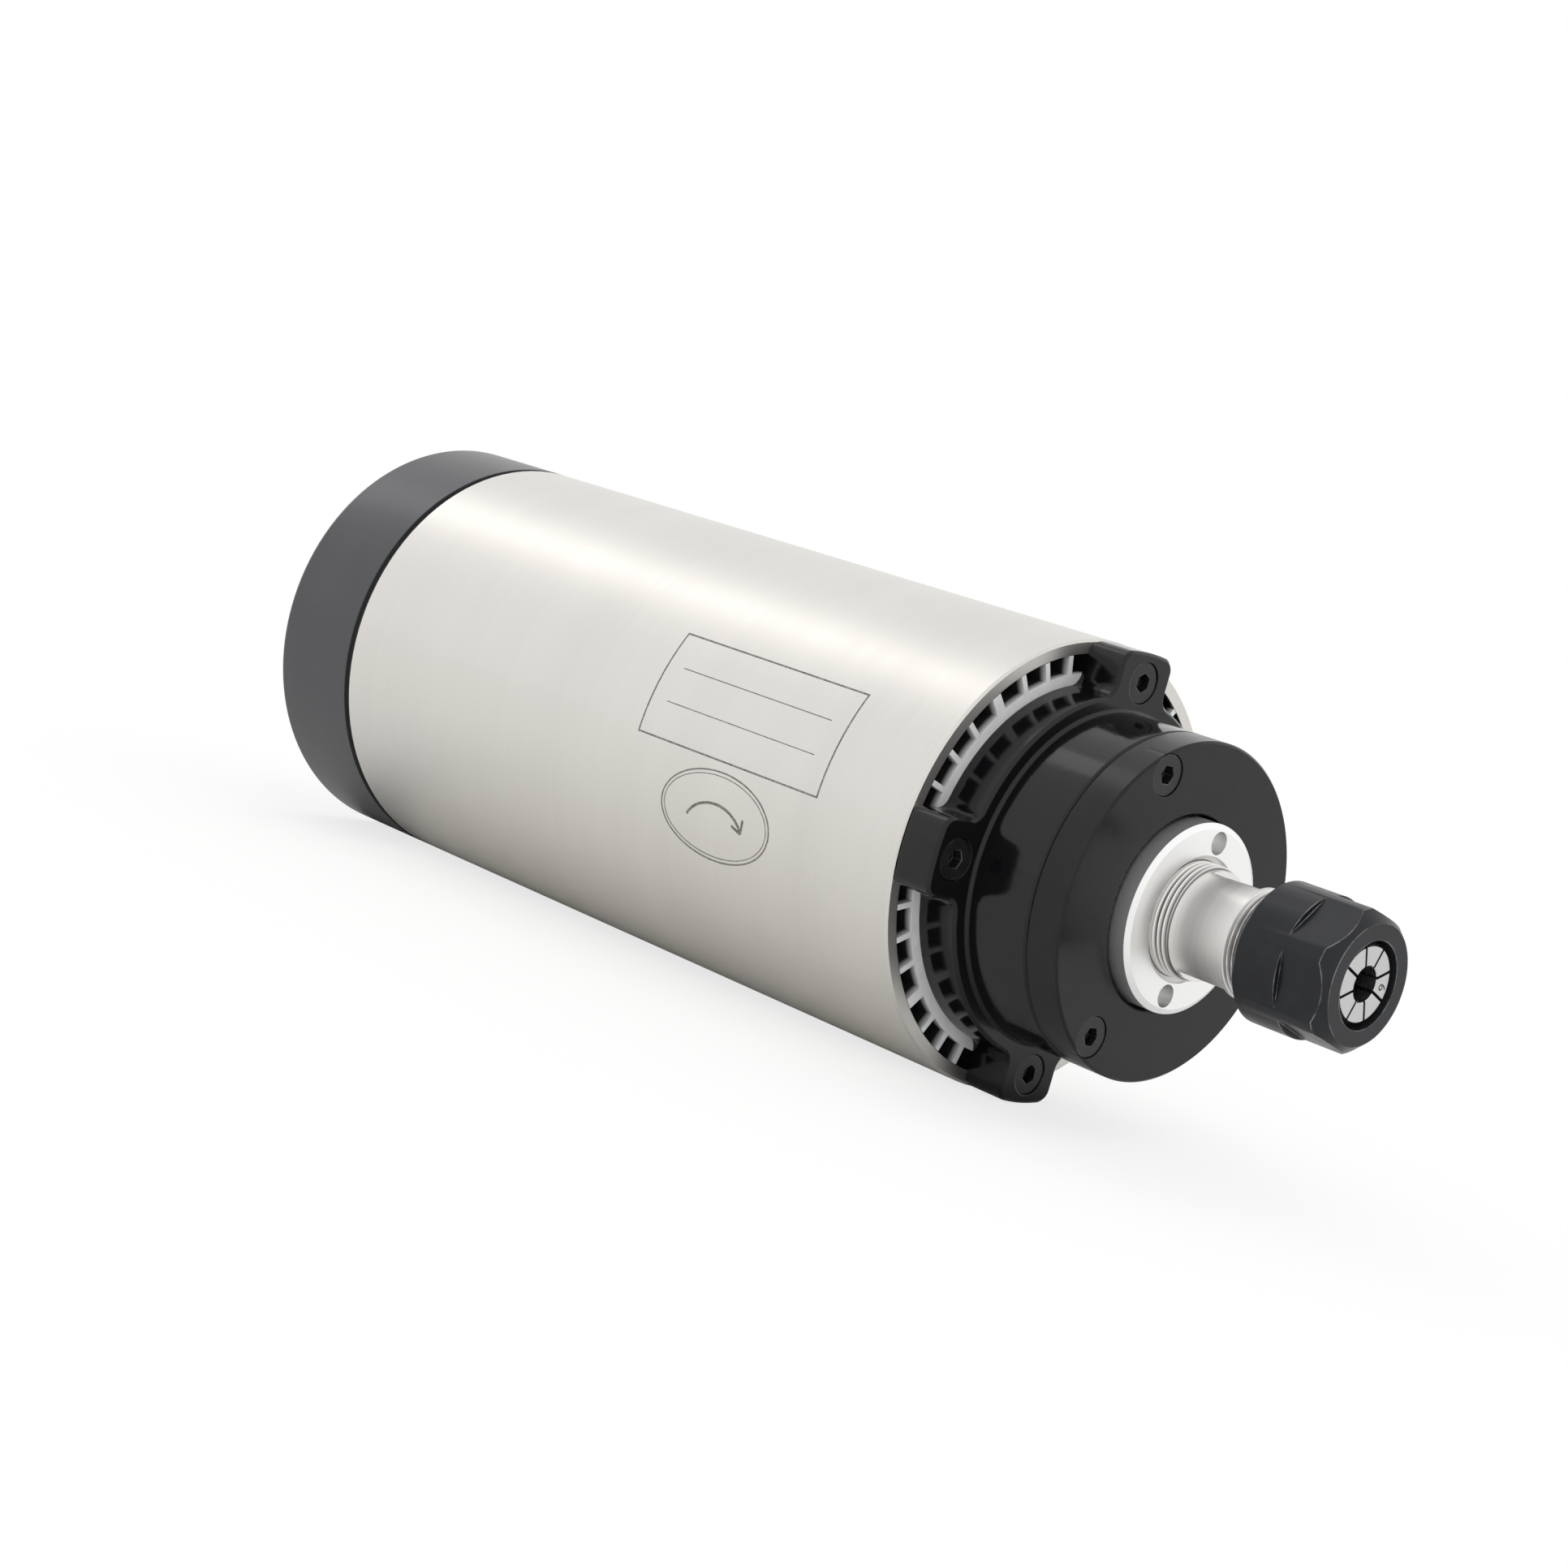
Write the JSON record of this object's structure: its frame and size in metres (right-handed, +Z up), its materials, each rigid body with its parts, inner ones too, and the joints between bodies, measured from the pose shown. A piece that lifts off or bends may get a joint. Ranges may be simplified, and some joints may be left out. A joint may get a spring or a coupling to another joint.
{
  "type": "motor spindle",
  "caption": "Round air-cooled motor spindle with a clamping sleeve, collet nose, finned core with air slots, vented rear cap and a screwed cable plug.",
  "frame": {"origin": "on the spindle axis, half way along the clamping sleeve", "axes": "+X along the spindle axis towards the nose; +Z up through one of the four lugs; +Y completes the right-handed set"},
  "size_m": [0.2768, 0.08, 0.08],
  "materials": {
    "sleeve_steel": "satin, turned",
    "core_aluminium": "as extruded, bright",
    "gloss_black": "gloss black",
    "satin_black": "satin black anodised",
    "cap_grey": "matte dark grey coating",
    "black_oxide_steel": "black oxide",
    "screw_steel": "oiled dark steel",
    "ground_steel": "ground bright",
    "nut_steel_bright": "bright turned",
    "collet_steel": "ground",
    "bearing_steel": "polished",
    "spring_steel": "plain",
    "lamination_steel": "plain",
    "copper_winding": "enamelled copper",
    "rotor_cage": "as cast",
    "black_rubber": "matte",
    "fan_plastic": "matte black",
    "connector_nickel": "nickel plated",
    "connector_insulator": "moulded",
    "contact_brass": "bright"
  },
  "bodies": {
    "housing": {"outer_sleeve": "sleeve_steel", "finned_core": "core_aluminium", "stator_core": "lamination_steel", "stator_windings": "copper_winding", "front_bearing_housing": "gloss_black", "lug_screws": "screw_steel", "front_flange_cap": "satin_black", "flange_screws": "screw_steel", "front_bearing_outer_rings": "bearing_steel", "rear_bearing_outer_rings": "bearing_steel", "rear_bearing_housing": "core_aluminium", "rear_housing_screws": "screw_steel", "preload_wave_spring": "spring_steel", "rear_cap": "cap_grey", "rear_cap_screws": "screw_steel", "cap_seal_ring": "black_rubber", "socket_shell": "connector_nickel", "socket_insert": "connector_insulator", "socket_pins": "contact_brass", "socket_nut": "connector_nickel"},
    "rotor": {"shaft": "ground_steel", "rotor_core": "lamination_steel", "rotor_end_rings": "rotor_cage", "front_bearing_inner_rings": "bearing_steel", "rear_bearing_inner_rings": "bearing_steel", "shaft_lock_ring": "nut_steel_bright", "rear_lock_nut": "screw_steel", "cooling_fan": "fan_plastic", "fan_screw": "screw_steel"},
    "tool_collet": {"collet": "collet_steel"},
    "nose_nut": {"collet_nut": "black_oxide_steel"},
    "cable_plug": {"plug_shell": "connector_nickel", "plug_insert": "connector_insulator", "plug_contacts": "contact_brass", "plug_clamp_bar": "connector_nickel", "plug_clamp_screws": "connector_nickel"},
    "coupling_ring": {"plug_coupling_ring": "connector_nickel"}
  },
  "joints": [
    {"name": "shaft_spin", "type": "hinge", "parent": "housing", "child": "rotor", "pos_m": [0, 0, 0], "axis": [1, 0, 0], "continuous": true},
    {"name": "collet_release", "type": "slide", "parent": "rotor", "child": "tool_collet", "axis": [1, 0, 0], "range_m": [0, 0.009]},
    {"name": "nut_unscrew", "type": "hinge", "parent": "tool_collet", "child": "nose_nut", "pos_m": [0.132, 0, 0], "axis": [1, 0, 0], "range_deg": [0, 3241]},
    {"name": "plug_draw", "type": "slide", "parent": "housing", "child": "cable_plug", "axis": [-1, 0, 0], "range_m": [0, 0.007]},
    {"name": "ring_turn", "type": "hinge", "parent": "cable_plug", "child": "coupling_ring", "pos_m": [-0.107, 0, 0], "axis": [-1, 0, 0], "range_deg": [0, 2521]}
  ],
  "couplings": [
    {"joint": "nut_unscrew", "follows": "collet_release", "rad_per_m": 6283.2},
    {"joint": "ring_turn", "follows": "plug_draw", "rad_per_m": 6283.2}
  ]
}
